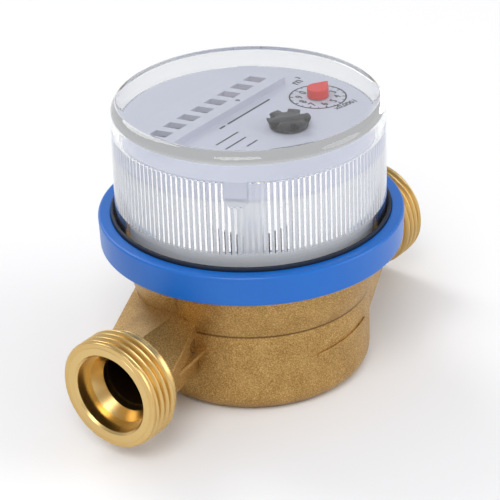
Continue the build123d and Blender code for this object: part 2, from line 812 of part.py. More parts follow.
pointer_phase = mesh_phase(second_place, pointer_place, 0, second_pinion_teeth, pointer_wheel_teeth)
pointer_bore_depth = 1.4
pointer_arbor_top_z = dial_top_z + dial_part_gap + pointer_bore_depth
with BuildPart() as pointer_arbor:
    with BuildSketch(gear_plane(pointer_place, pivot_z)):
        Circle(arbor_radius)
    extrude(amount=pointer_arbor_top_z - pivot_z)
    with BuildSketch(gear_plane(pointer_place, third_level)):
        Polygon(*tooth_points(pointer_wheel_teeth, second_module, pointer_phase), align=None)
    extrude(amount=gear_width)
    with BuildSketch(gear_plane(pointer_place, worm_level)):
        Polygon(*tooth_points(pointer_drive_teeth, third_module, 0), align=None)
    extrude(amount=gear_width)
finish(pointer_arbor.part, "pointer_arbor")

worm_phase = mesh_phase(pointer_place, worm_place, 0, pointer_drive_teeth, worm_pinion_teeth)
worm_lead = 2 * math.pi * worm_wheel_pitch_radius / roller_gear_teeth
worm_turns = int(worm_length / worm_lead)
worm_bottom_z = roller_z - worm_lead * (worm_turns // 2 - 0.25)
worm_thread_foot = 0.4 * worm_lead
worm_thread_tip = 0.16 * worm_lead
with BuildPart() as worm_thread:
    with BuildLine() as worm_path:
        Helix(
            pitch=worm_lead,
            height=worm_turns * worm_lead,
            radius=worm_root_radius,
            center=(*worm_place, worm_bottom_z),
            lefthand=True,
        )
    with BuildSketch(Plane(origin=worm_path.line @ 0, x_dir=(1, 0, 0), z_dir=worm_path.line % 0)):
        Polygon(
            (-0.2, -worm_thread_foot / 2),
            (worm_tooth_height, -worm_thread_tip / 2),
            (worm_tooth_height, worm_thread_tip / 2),
            (-0.2, worm_thread_foot / 2),
            align=None,
        )
    sweep(is_frenet=True)
with BuildPart() as worm_arbor:
    with BuildSketch(gear_plane(worm_place, pivot_z)):
        Circle(arbor_radius)
    extrude(amount=train_plate_top_z + gear_width - pivot_z)
    with BuildSketch(gear_plane(worm_place, worm_level - level_overlap)):
        Polygon(*tooth_points(worm_pinion_teeth, third_module, worm_phase), align=None)
    extrude(amount=gear_width + 2 * level_overlap)
    with BuildSketch(gear_plane(worm_place, train_plate_top_z + running_gap)):
        Circle(worm_root_radius)
    extrude(amount=roller_z + worm_length / 2 - train_plate_top_z)
    add(worm_thread.part)
finish(worm_arbor.part, "worm_arbor")

# Number rollers, from the fastest at +X; the first has the worm wheel on its side
roller_plane_bearing = math.degrees(math.atan2(transfer_z - roller_z, transfer_y - roller_y))
worm_wheel_module = 2 * worm_wheel_pitch_radius / roller_gear_teeth
carry_tooth_height = 0.9
carry_tooth_width = 0.6
for index in range(roller_count):
    roller_x = roller_first_x - index * roller_pitch
    with BuildPart() as roller:
        with BuildSketch(Plane.YZ.offset(roller_x - roller_drum_width / 2)):
            with Locations((roller_y, roller_z)):
                Circle(roller_radius)
        extrude(amount=roller_drum_width)
        if index:
            gear_x = roller_x + roller_drum_width / 2
            gear_teeth = tooth_points(roller_gear_teeth, roller_gear_module, roller_plane_bearing)
            side_gear_width = roller_side_width
        else:
            gear_x = worm_place[0] - worm_wheel_width / 2
            gear_teeth = tooth_points(roller_gear_teeth, worm_wheel_module, 180 / roller_gear_teeth)
            side_gear_width = worm_wheel_width
            with BuildSketch(Plane.YZ.offset(roller_x)):
                with Locations((roller_y, roller_z)):
                    Circle(worm_wheel_hub_radius)
            extrude(amount=gear_x - roller_x)
        with BuildSketch(Plane(origin=(gear_x, roller_y, roller_z), z_dir=(1, 0, 0), x_dir=(0, 1, 0))):
            Polygon(*gear_teeth, align=None)
        extrude(amount=side_gear_width)
        if index < roller_count - 1:
            carry_plane = Plane(origin=(roller_x, roller_y, roller_z), z_dir=(-1, 0, 0), x_dir=(0, 1, 0))
            with BuildSketch(carry_plane):
                Circle(carry_disc_radius)
                with PolarLocations(carry_disc_radius, 2, start_angle=roller_plane_bearing + 180, angular_range=36):
                    Rectangle(2 * carry_tooth_height, carry_tooth_width)
            extrude(amount=roller_drum_width / 2 + roller_side_width)
        with BuildSketch(Plane.YZ.offset(roller_x - roller_pitch)):
            with Locations((roller_y, roller_z)):
                Circle(roller_bore)
        extrude(amount=2 * roller_pitch, mode=Mode.SUBTRACT)
    finish(roller.part, f"number_roller_{index + 1}")

transfer_phase = mesh_phase(
    (roller_y, roller_z),
    (transfer_y, transfer_z),
    roller_plane_bearing,
    roller_gear_teeth,
    transfer_teeth,
)
for index in range(roller_count - 1):
    transfer_x = roller_first_x - (index + 0.5) * roller_pitch
    with BuildPart() as transfer_pinion:
        transfer_plane = Plane(
            origin=(transfer_x - transfer_width / 2, transfer_y, transfer_z), z_dir=(1, 0, 0), x_dir=(0, 1, 0)
        )
        with BuildSketch(transfer_plane):
            Polygon(*tooth_points(transfer_teeth, roller_gear_module, transfer_phase), align=None)
            Circle(transfer_bore, mode=Mode.SUBTRACT)
        extrude(amount=transfer_width)
    finish(transfer_pinion.part, f"transfer_pinion_{index + 1}")

shaft_start_x = bracket_left_x - bracket_thickness
shaft_length = bracket_right_x + bracket_thickness - shaft_start_x
with BuildPart() as roller_shaft:
    with BuildSketch(Plane.YZ.offset(shaft_start_x)):
        with Locations((roller_y, roller_z)):
            Circle(roller_shaft_radius)
    extrude(amount=shaft_length)
finish(roller_shaft.part, "roller_shaft")

with BuildPart() as transfer_shaft:
    with BuildSketch(Plane.YZ.offset(shaft_start_x)):
        with Locations((transfer_y, transfer_z)):
            Circle(transfer_shaft_radius)
    extrude(amount=shaft_length)
finish(transfer_shaft.part, "transfer_shaft")

# Dial with its skirt, the raised strip over the rollers and two keys
roller_pocket_radius = roller_radius + roller_pocket_gap
wheel_pocket_radius = worm_wheel_pitch_radius + worm_wheel_module + turning_gap
drum_pocket_end_x = roller_first_x + roller_drum_width / 2 + turning_gap
key_bottom_z = rib_top_z + keyway_rise - keyway_height + key_foot_gap
with BuildPart() as strip:
    with BuildSketch(Plane.YZ.offset(strip_left_front_x)):
        Polygon(
            (strip_front_y, dial_under_z),
            (strip_back_y, dial_under_z),
            (strip_back_y, dial_top_z),
            (strip_front_y, dial_top_z + strip_height),
            align=None,
        )
    extrude(amount=strip_right_x - strip_left_front_x)
    with BuildSketch(Plane.XY.offset(dial_under_z)):
        Polygon(
            (strip_left_front_x, strip_front_y),
            (strip_right_x, strip_front_y),
            (strip_right_x, strip_back_y),
            (strip_left_back_x, strip_back_y),
            align=None,
        )
    extrude(amount=dial_thickness + strip_height, mode=Mode.INTERSECT)

with BuildPart() as dial_plate:
    with BuildSketch(Plane.XY.offset(dial_under_z)):
        Circle(dial_radius)
    extrude(amount=dial_thickness)
    with BuildSketch(Plane.XY.offset(housing_rim_z)):
        Circle(dial_radius)
        Circle(dial_radius - dial_skirt_thickness, mode=Mode.SUBTRACT)
    extrude(amount=dial_under_z - housing_rim_z)
    add(strip.part)
    with BuildSketch(Plane.YZ.offset(bracket_left_x)):
        with Locations((roller_y, roller_z)):
            Circle(roller_pocket_radius)
    extrude(amount=drum_pocket_end_x - bracket_left_x, mode=Mode.SUBTRACT)
    with BuildSketch(Plane.YZ.offset(bracket_left_x)):
        with Locations((roller_y, roller_z)):
            Circle(wheel_pocket_radius)
    extrude(amount=bracket_right_x - bracket_left_x, mode=Mode.SUBTRACT)
    window_middle_x = roller_first_x - (roller_count - 1) / 2 * roller_pitch
    with BuildSketch(Plane.XY.offset(dial_under_z)):
        with Locations((window_middle_x, roller_y)):
            with GridLocations(roller_pitch, 1, roller_count, 1):
                Rectangle(window_width, window_length)
    extrude(amount=dial_thickness + strip_height, mode=Mode.SUBTRACT)
    with BuildSketch(Plane.XY.offset(dial_under_z)):
        with Locations(star_place, pointer_place):
            Circle(arbor_radius + turning_gap)
    extrude(amount=dial_thickness, mode=Mode.SUBTRACT)
    for key_angle in keyway_angles:
        key_radius = (dial_radius + cap_inner_radius) / 2 - 0.2
        key_origin = (*reach(key_radius, key_angle), key_bottom_z)
        with BuildSketch(Plane(origin=key_origin, x_dir=(*reach(1, key_angle), 0), z_dir=(0, 0, 1))):
            Rectangle(cap_inner_radius - dial_radius + 0.1, dial_key_width)
        extrude(amount=dial_top_z - key_bottom_z)
finish(dial_plate.part, "dial_plate")

# Star wheel and pointer on the dial
with BuildPart() as star_wheel:
    star_bottom_z = dial_top_z + dial_part_gap
    star_top_z = dial_top_z + star_height
    with BuildSketch(gear_plane(star_place, star_bottom_z)):
        Circle(star_base_radius)
    with BuildSketch(gear_plane(star_place, star_top_z)):
        Circle(star_top_radius)
    loft()
    with BuildSketch(gear_plane(star_place, star_top_z)):
        with PolarLocations(star_top_radius - star_notch_radius / 3, star_notches):
            Circle(star_notch_radius)
    extrude(amount=-star_notch_depth, mode=Mode.SUBTRACT)
    with BuildSketch(gear_plane(star_place, star_bottom_z)):
        Circle(arbor_radius)
    extrude(amount=star_bore_depth, mode=Mode.SUBTRACT)
finish(star_wheel.part, "star_wheel")

with BuildPart() as pointer:
    pointer_bottom_z = dial_top_z + dial_part_gap
    pointer_top_z = dial_top_z + pointer_height
    with BuildSketch(gear_plane(pointer_place, pointer_bottom_z)):
        Circle(pointer_hub_radius)
    extrude(amount=pointer_top_z - pointer_bottom_z)
    tip = reach(pointer_tip_length, pointer_angle)
    shoulder_angle = math.degrees(math.acos(pointer_hub_radius / pointer_tip_length))
    with BuildSketch(gear_plane(pointer_place, pointer_top_z)):
        Polygon(
            (0, 0),
            reach(pointer_hub_radius, pointer_angle - shoulder_angle),
            tip,
            reach(pointer_hub_radius, pointer_angle + shoulder_angle),
            align=None,
        )
    extrude(amount=-(pointer_height - dial_part_gap) / 2)
    with BuildSketch(gear_plane(pointer_place, pointer_bottom_z)):
        Circle(arbor_radius)
    extrude(amount=pointer_bore_depth, mode=Mode.SUBTRACT)
finish(pointer.part, "pointer")
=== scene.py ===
import json
import math

import bpy
from mathutils import Matrix, Vector


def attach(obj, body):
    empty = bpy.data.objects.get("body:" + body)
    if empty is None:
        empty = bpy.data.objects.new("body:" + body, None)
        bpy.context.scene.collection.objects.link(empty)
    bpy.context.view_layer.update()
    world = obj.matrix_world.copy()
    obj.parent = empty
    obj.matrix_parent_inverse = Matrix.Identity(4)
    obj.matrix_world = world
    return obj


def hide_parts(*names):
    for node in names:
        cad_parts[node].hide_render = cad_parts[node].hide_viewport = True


mm = 0.001
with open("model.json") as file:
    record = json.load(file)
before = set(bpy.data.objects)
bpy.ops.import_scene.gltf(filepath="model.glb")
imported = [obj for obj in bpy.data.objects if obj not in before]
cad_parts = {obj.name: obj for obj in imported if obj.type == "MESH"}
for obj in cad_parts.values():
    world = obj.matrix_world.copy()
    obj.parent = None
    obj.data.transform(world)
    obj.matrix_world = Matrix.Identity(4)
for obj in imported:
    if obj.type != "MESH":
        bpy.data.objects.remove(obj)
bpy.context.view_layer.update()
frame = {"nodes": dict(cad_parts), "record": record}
scene = bpy.context.scene
scene.view_settings.view_transform = "Standard"
nodes = frame["nodes"]


def clearSelection():
    if bpy.context.mode != "OBJECT":
        bpy.ops.object.mode_set(mode="OBJECT")
    bpy.ops.object.select_all(action="DESELECT")


def pickOnly(piece):
    clearSelection()
    piece.select_set(True)
    bpy.context.view_layer.objects.active = piece


def settle(piece):  # place, turn and scale go into the mesh
    pickOnly(piece)
    bpy.ops.object.transform_apply(location=True, rotation=True, scale=True)


def applyAll(piece):
    pickOnly(piece)
    for modifier in list(piece.modifiers):
        bpy.ops.object.modifier_apply(modifier=modifier.name)


def joinPieces(pieces, name):
    clearSelection()
    for piece in pieces:
        piece.select_set(True)
    bpy.context.view_layer.objects.active = pieces[0]
    if len(pieces) > 1:
        bpy.ops.object.join()
    pieces[0].name = name
    pieces[0].data.name = name
    return pieces[0]


def paint(piece, material):
    piece.data.materials.clear()
    piece.data.materials.append(material)


# Camera, at the angle of the picture
cameraSettings = {
    "place": (-360.03, -269.70, 267.82),  # mm
    "azimuth": -53.09,
    "elevation": 28.01,
    "roll": -1.88,
    "lens": 154.36,
}


def makeCamera(settings):
    azimuth, elevation, roll = (math.radians(settings[key]) for key in ("azimuth", "elevation", "roll"))
    level = math.cos(elevation)
    back = Vector((math.sin(azimuth) * level, -math.cos(azimuth) * level, math.sin(elevation)))
    right = Vector((math.cos(azimuth), math.sin(azimuth), 0))
    above = back.cross(right)
    rolledRight = right * math.cos(roll) + above * math.sin(roll)
    rolledAbove = above * math.cos(roll) - right * math.sin(roll)
    bpy.ops.object.camera_add()
    camera = bpy.context.object
    camera.data.lens = settings["lens"]
    camera.data.sensor_width = 36
    camera.data.clip_start = 0.01
    turn = Matrix((rolledRight, rolledAbove, back)).transposed().to_4x4()
    camera.matrix_world = Matrix.Translation(Vector(settings["place"]) * mm) @ turn
    scene.camera = camera


makeCamera(cameraSettings)
print("camera set")

# Studio: pale floor, white surroundings, soft lamps
studioSettings = {
    "floorSize": 6.0,
    "floorColour": (0.86, 0.86, 0.87, 1),
    "ambient": 0.6,
    "glossLow": 0.08,
    "glossHigh": 0.42,
    "glossOverhead": 0.5,
    "lamps": [
        {"name": "keyLamp", "place": (-0.75, -0.35, 0.95), "size": 0.7, "power": 7.0},
        {"name": "fillLamp", "place": (0.55, -0.95, 0.55), "size": 0.8, "power": 4.6},
        {"name": "backLamp", "place": (0.25, 0.85, 0.85), "size": 0.6, "power": 4.0},
    ],
}


def addBlend(tree, share, low, high):  # low and high are numbers or outputs
    blend = tree.nodes.new("ShaderNodeMix")
    tree.links.new(share, blend.inputs["Factor"])
    for label, value in (("A", low), ("B", high)):
        if isinstance(value, float):
            blend.inputs[label].default_value = value
        else:
            tree.links.new(value, blend.inputs[label])
    return blend.outputs["Result"]


def makeStudio(settings):
    bpy.ops.mesh.primitive_grid_add(x_subdivisions=8, y_subdivisions=8, size=settings["floorSize"])
    floor = bpy.context.object
    floor.name = "studioFloor"
    material = bpy.data.materials.new("paleFloor")
    material.use_nodes = True
    tree = material.node_tree
    shader = tree.nodes["Principled BSDF"]
    shader.inputs["Base Color"].default_value = settings["floorColour"]
    shader.inputs["Roughness"].default_value = 0.9
    shader.inputs["Specular IOR Level"].default_value = 0.0
    paint(floor, material)

    world = bpy.data.worlds.new("whiteSurroundings")
    scene.world = world
    world.use_nodes = True
    tree = world.node_tree
    path = tree.nodes.new("ShaderNodeLightPath")
    sky = tree.nodes.new("ShaderNodeTexCoord")
    height = tree.nodes.new("ShaderNodeSeparateXYZ")
    tree.links.new(sky.outputs["Generated"], height.inputs["Vector"])
    seenInGloss = tree.nodes.new("ShaderNodeMapRange")  # white at the horizon, duller overhead
    seenInGloss.inputs["From Min"].default_value = settings["glossLow"]
    seenInGloss.inputs["From Max"].default_value = settings["glossHigh"]
    seenInGloss.inputs["To Min"].default_value = 1.0
    seenInGloss.inputs["To Max"].default_value = settings["glossOverhead"]
    tree.links.new(height.outputs["Z"], seenInGloss.inputs["Value"])
    level = addBlend(tree, path.outputs["Is Transmission Ray"], settings["ambient"], 1.0)
    level = addBlend(tree, path.outputs["Is Glossy Ray"], level, seenInGloss.outputs["Result"])
    level = addBlend(tree, path.outputs["Is Camera Ray"], level, 1.0)
    tree.nodes["Background"].inputs["Color"].default_value = (1, 1, 1, 1)
    tree.links.new(level, tree.nodes["Background"].inputs["Strength"])

    for lamp in settings["lamps"]:
        bpy.ops.object.light_add(type="AREA", location=lamp["place"])
        light = bpy.context.object
        light.name = lamp["name"]
        light.data.shape = "DISK"
        light.data.size = lamp["size"]
        light.data.energy = lamp["power"]
        towards = Vector((0, 0, 0.035)) - light.location
        light.rotation_euler = towards.to_track_quat("-Z", "Y").to_euler()


makeStudio(studioSettings)
print("studio set")


# Shared effects
def makeGroup(name, inputs, outputs):
    group = bpy.data.node_groups.new(name, "ShaderNodeTree")
    for label, kind, value in inputs:
        socket = group.interface.new_socket(name=label, in_out="INPUT", socket_type=kind)
        if value is not None:
            socket.default_value = value
    for label, kind in outputs:
        group.interface.new_socket(name=label, in_out="OUTPUT", socket_type=kind)
    return group, group.nodes.new("NodeGroupInput"), group.nodes.new("NodeGroupOutput")


def makeCastGrain():  # fine pits and lumps of a blasted casting
    group, start, end = makeGroup(
        "castGrain",
        [
            ("Place", "NodeSocketVector", None),
            ("Grain Size", "NodeSocketFloat", 900.0),
            ("Blotch Size", "NodeSocketFloat", 90.0),
        ],
        [("Height", "NodeSocketFloat"), ("Blotch", "NodeSocketFloat")],
    )
    fine = group.nodes.new("ShaderNodeTexNoise")
    fine.inputs["Detail"].default_value = 3.0
    fine.inputs["Roughness"].default_value = 0.65
    coarse = group.nodes.new("ShaderNodeTexNoise")
    coarse.inputs["Detail"].default_value = 4.0
    pits = group.nodes.new("ShaderNodeTexVoronoi")
    pits.feature = "SMOOTH_F1"
    blend = group.nodes.new("ShaderNodeMix")
    blend.inputs["Factor"].default_value = 0.35
    group.links.new(start.outputs["Place"], fine.inputs["Vector"])
    group.links.new(start.outputs["Place"], coarse.inputs["Vector"])
    group.links.new(start.outputs["Place"], pits.inputs["Vector"])
    group.links.new(start.outputs["Grain Size"], fine.inputs["Scale"])
    group.links.new(start.outputs["Grain Size"], pits.inputs["Scale"])
    group.links.new(start.outputs["Blotch Size"], coarse.inputs["Scale"])
    group.links.new(fine.outputs["Fac"], blend.inputs["A"])
    group.links.new(pits.outputs["Distance"], blend.inputs["B"])
    group.links.new(blend.outputs["Result"], end.inputs["Height"])
    group.links.new(coarse.outputs["Fac"], end.inputs["Blotch"])
    return group


castGrain = makeCastGrain()


def startMaterial(name):
    material = bpy.data.materials.new(name)
    material.use_nodes = True
    tree = material.node_tree
    return material, tree, tree.nodes["Principled BSDF"]


def addGrain(tree, grainSize, blotchSize):
    place = tree.nodes.new("ShaderNodeTexCoord")
    grain = tree.nodes.new("ShaderNodeGroup")
    grain.node_tree = castGrain
    grain.inputs["Grain Size"].default_value = grainSize
    grain.inputs["Blotch Size"].default_value = blotchSize
    tree.links.new(place.outputs["Object"], grain.inputs["Place"])
    return grain


def addRamp(tree, source, stops):
    ramp = tree.nodes.new("ShaderNodeValToRGB")
    while len(ramp.color_ramp.elements) < len(stops):
        ramp.color_ramp.elements.new(0.5)
    for element, (position, colour) in zip(ramp.color_ramp.elements, stops):
        element.position = position
        element.color = (*colour, 1)
    tree.links.new(source, ramp.inputs["Fac"])
    return ramp.outputs["Color"]


def addBump(tree, source, shader, strength, distance):
    bump = tree.nodes.new("ShaderNodeBump")
    bump.inputs["Strength"].default_value = strength
    bump.inputs["Distance"].default_value = distance
    tree.links.new(source, bump.inputs["Height"])
    tree.links.new(bump.outputs["Normal"], shader.inputs["Normal"])


def addRange(tree, source, low, high, fromLow=0.0, fromHigh=1.0):
    spread = tree.nodes.new("ShaderNodeMapRange")
    spread.inputs["From Min"].default_value = fromLow
    spread.inputs["From Max"].default_value = fromHigh
    spread.inputs["To Min"].default_value = low
    spread.inputs["To Max"].default_value = high
    tree.links.new(source, spread.inputs["Value"])
    return spread.outputs["Result"]


def addMath(tree, operation, first, second=None):  # each is a number or an output
    node = tree.nodes.new("ShaderNodeMath")
    node.operation = operation
    for index, value in enumerate((first, second)):
        if isinstance(value, float):
            node.inputs[index].default_value = value
        elif value is not None:
            tree.links.new(value, node.inputs[index])
    return node.outputs[0]


def addLength(tree, first, second):
    squares = [addMath(tree, "MULTIPLY", side, side) for side in (first, second)]
    return addMath(tree, "SQRT", addMath(tree, "ADD", *squares))


def addTone(tree, mask, colour, tone):
    mix = tree.nodes.new("ShaderNodeMix")
    mix.data_type = "RGBA"
    mix.inputs["B"].default_value = (*tone, 1)
    tree.links.new(mask, mix.inputs["Factor"])
    tree.links.new(colour, mix.inputs["A"])
    return mix.outputs["Result"]


def srgb(red, green, blue):  # a colour read off, 0 to 255
    shares = [value / 255 for value in (red, green, blue)]
    return tuple(share / 12.92 if share <= 0.04 else ((share + 0.055) / 1.055) ** 2.4 for share in shares)


brassSettings = {
    "dark": srgb(130, 97, 51),
    "middle": srgb(172, 135, 78),
    "light": srgb(210, 175, 112),
    "turned": srgb(216, 185, 124),
    # painted shade tones: the dark inside of the passages and the thin crease line
    "passageShade": srgb(62, 42, 22),
    "creaseShadeTone": srgb(96, 66, 30),
    "grainSize": 3400.0,
    "blotchSize": 200.0,
    "blotchShare": 0.16,
    "bossStart": 46.2 * mm,
    "axisHeight": 16.4 * mm,
    "passageStart": 48.5 * mm,  # from the middle of the body
    "passageRun": 29.5 * mm,
    "passageDrift": 9.53 * mm,  # sideways over the run
    "passageMouth": 7.0 * mm,  # radius, with a little over
    "passageJet": 4.5 * mm,
    "creaseHeight": 20.6 * mm,
    "creaseHalfWidth": 0.45 * mm,
    "shellRadius": 28.0 * mm,
}


def addPassageMask(tree, x, y, z, settings):  # one inside either slanted passage
    start = settings["passageStart"]
    end = start - settings["passageRun"]
    away = addMath(tree, "ABSOLUTE", x)
    centre = addRange(tree, away, settings["passageDrift"], 0.0, end, start)
    radius = addRange(tree, away, settings["passageJet"], settings["passageMouth"], end, start)
    towards = addMath(tree, "MULTIPLY", y, addMath(tree, "MULTIPLY", addMath(tree, "SIGN", x), -1.0))
    across = addMath(tree, "SUBTRACT", towards, centre)
    above = addMath(tree, "SUBTRACT", z, settings["axisHeight"])
    return addMath(tree, "LESS_THAN", addLength(tree, across, above), radius)


def makeCastBrass(settings):
    material, tree, shader = startMaterial("castBrass")
    grain = addGrain(tree, settings["grainSize"], settings["blotchSize"])
    speck = tree.nodes.new("ShaderNodeMix")
    speck.inputs["Factor"].default_value = settings["blotchShare"]
    tree.links.new(grain.outputs["Height"], speck.inputs["A"])
    tree.links.new(grain.outputs["Blotch"], speck.inputs["B"])
    colour = addRamp(
        tree,
        speck.outputs["Result"],
        [(0.3, settings["dark"]), (0.45, settings["middle"]), (0.62, settings["light"])],
    )
    place = tree.nodes.new("ShaderNodeTexCoord")
    split = tree.nodes.new("ShaderNodeSeparateXYZ")
    tree.links.new(place.outputs["Object"], split.inputs["Vector"])
    x, y, z = (split.outputs[axis] for axis in ("X", "Y", "Z"))
    # painted shade: a thin dark line along the crease where the swell meets the shell, standing in for the
    # shadow there
    fromCrease = addMath(tree, "ABSOLUTE", addMath(tree, "SUBTRACT", z, settings["creaseHeight"]))
    creaseShadeMask = addRange(tree, fromCrease, 1.0, 0.0, 0.0, settings["creaseHalfWidth"])
    onShell = addMath(tree, "LESS_THAN", addLength(tree, x, y), settings["shellRadius"])
    colour = addTone(tree, addMath(tree, "MULTIPLY", creaseShadeMask, onShell), colour, settings["creaseShadeTone"])
    # painted shade: the insides of the slanted passages are darkened to stand in for the shadow deep in the bore
    colour = addTone(tree, addPassageMask(tree, x, y, z, settings), colour, settings["passageShade"])
    machined = addRange(
        tree, addMath(tree, "ABSOLUTE", x), 0.0, 1.0, settings["bossStart"], settings["bossStart"] + 0.3 * mm
    )
    tree.links.new(addTone(tree, machined, colour, settings["turned"]), shader.inputs["Base Color"])
    tree.links.new(addRange(tree, machined, 0.44, 0.28), shader.inputs["Roughness"])
    tree.links.new(addRange(tree, machined, 0.82, 1.0), shader.inputs["Metallic"])
    rough = tree.nodes.new("ShaderNodeMath")
    rough.operation = "MULTIPLY"
    tree.links.new(grain.outputs["Height"], rough.inputs[0])
    tree.links.new(addRange(tree, machined, 1.0, 0.12), rough.inputs[1])
    addBump(tree, rough.outputs[0], shader, 0.7, 0.14 * mm)
    return material


def makeTurnedBrass(settings):
    material, tree, shader = startMaterial("turnedBrass")
    grain = addGrain(tree, 400.0, 120.0)
    colour = addRamp(tree, grain.outputs["Blotch"], [(0.3, settings["light"]), (0.7, settings["turned"])])
    tree.links.new(colour, shader.inputs["Base Color"])
    tree.links.new(addRange(tree, grain.outputs["Height"], 0.22, 0.4), shader.inputs["Roughness"])
    shader.inputs["Metallic"].default_value = 1.0
    addBump(tree, grain.outputs["Height"], shader, 0.15, 0.04 * mm)
    return material


def makePlastic(name, colour, shade, roughness, grainSize=1800.0, bumpHeight=0.01 * mm):
    material, tree, shader = startMaterial(name)
    grain = addGrain(tree, grainSize, 70.0)
    tones = addRamp(tree, grain.outputs["Blotch"], [(0.3, shade), (0.7, colour)])
    tree.links.new(tones, shader.inputs["Base Color"])
    tree.links.new(
        addRange(tree, grain.outputs["Height"], roughness - 0.06, roughness + 0.08), shader.inputs["Roughness"]
    )
    shader.inputs["IOR"].default_value = 1.5
    addBump(tree, grain.outputs["Height"], shader, 0.25, bumpHeight)
    return material


def makeClearPlastic():
    material, tree, shader = startMaterial("clearPlastic")
    grain = addGrain(tree, 300.0, 60.0)
    shader.inputs["Base Color"].default_value = (0.965, 0.972, 0.98, 1)
    tree.links.new(addRange(tree, grain.outputs["Blotch"], 0.01, 0.03), shader.inputs["Roughness"])
    shader.inputs["IOR"].default_value = 1.4
    shader.inputs["Transmission Weight"].default_value = 1.0
    addBump(tree, grain.outputs["Blotch"], shader, 0.05, 0.01 * mm)
    path = tree.nodes.new("ShaderNodeLightPath")
    either = tree.nodes.new("ShaderNodeMath")
    either.operation = "MAXIMUM"
    through = tree.nodes.new("ShaderNodeBsdfTransparent")
    through.inputs["Color"].default_value = (0.93, 0.94, 0.95, 1)
    mix = tree.nodes.new("ShaderNodeMixShader")
    output = tree.nodes["Material Output"]
    tree.links.new(path.outputs["Is Shadow Ray"], either.inputs[0])
    tree.links.new(path.outputs["Is Diffuse Ray"], either.inputs[1])
    caught = addMath(tree, "GREATER_THAN", path.outputs["Ray Depth"], 3.5)
    tree.links.new(addMath(tree, "MAXIMUM", either.outputs[0], caught), mix.inputs["Fac"])
    tree.links.new(shader.outputs["BSDF"], mix.inputs[1])
    tree.links.new(through.outputs["BSDF"], mix.inputs[2])
    tree.links.new(mix.outputs["Shader"], output.inputs["Surface"])
    return material


def makeSteel():
    material, tree, shader = startMaterial("groundSteel")
    grain = addGrain(tree, 900.0, 200.0)
    tree.links.new(
        addRamp(tree, grain.outputs["Blotch"], [(0.3, srgb(150, 150, 152)), (0.7, srgb(190, 190, 192))]),
        shader.inputs["Base Color"],
    )
    tree.links.new(addRange(tree, grain.outputs["Height"], 0.25, 0.4), shader.inputs["Roughness"])
    shader.inputs["Metallic"].default_value = 1.0
    addBump(tree, grain.outputs["Height"], shader, 0.2, 0.01 * mm)
    return material


finishes = {
    "cast_brass": makeCastBrass(brassSettings),
    "clear_plastic": makeClearPlastic(),
    "blue_plastic": makePlastic("bluePlastic", srgb(0, 100, 190), srgb(0, 96, 185), 0.34, bumpHeight=0.004 * mm),
    "seal_rubber": makePlastic("sealRubber", srgb(16, 30, 52), srgb(12, 22, 40), 0.6),
    # the dial's white, darkened to a grey-lavender as painted shade from the cap above it
    "dial_white": makePlastic("dialShadedWhite", srgb(196, 198, 212), srgb(192, 194, 208), 0.5),
    "white_plastic": makePlastic("whitePlastic", srgb(212, 213, 217), srgb(207, 208, 212), 0.5),
    "roller_white": makePlastic("rollerWhite", srgb(232, 232, 228), srgb(226, 226, 222), 0.45),
    "star_black": makePlastic("starBlack", srgb(15, 16, 18), srgb(11, 12, 14), 0.3, bumpHeight=0.03 * mm),
    "pointer_red": makePlastic("pointerRed", srgb(226, 34, 20), srgb(216, 28, 16), 0.35),
    "gear_plastic": makePlastic("gearPlastic", srgb(236, 234, 224), srgb(230, 228, 216), 0.45),
    "impeller_plastic": makePlastic("impellerPlastic", srgb(214, 216, 214), srgb(206, 208, 206), 0.5),
    "plate_plastic": makePlastic("platePlastic", srgb(66, 68, 72), srgb(58, 60, 64), 0.55, bumpHeight=0.03 * mm),
    "bearing_plastic": makePlastic("bearingPlastic", srgb(60, 60, 62), srgb(52, 52, 54), 0.4),
    "strainer_plastic": makePlastic("strainerPlastic", srgb(206, 208, 206), srgb(198, 200, 198), 0.5),
    "magnet": makePlastic("ferriteMagnet", srgb(52, 50, 50), srgb(44, 42, 42), 0.6, bumpHeight=0.03 * mm),
    "jewel": makePlastic("cupJewel", srgb(178, 30, 60), srgb(166, 24, 52), 0.12, bumpHeight=0.002 * mm),
    "steel": makeSteel(),
}
turnedBrass = makeTurnedBrass(brassSettings)

for part in frame["record"]["subparts"]:
    paint(nodes[part["node"]], finishes[part["material_slot"]])
print("materials set")

# Pipe threads, one ridge wound round each boss
threadSettings = {
    "endX": 55.0,
    "axisHeight": 16.4,
    "pitch": 1.814,
    "rootRadius": 12.1,
    "crestRadius": 13.2,
    "sunk": 0.45,
    "firstCrest": -0.9,  # from the end face, so the first turn starts cut off
    "turns": 4.9,
    "stepsPerTurn": 96,
    "chamferRadius": 12.7,  # at the end face, rising at 45 degrees
    "endGap": 0.05,
    "runOut": 0.35,  # turns over which the ridge fades
}


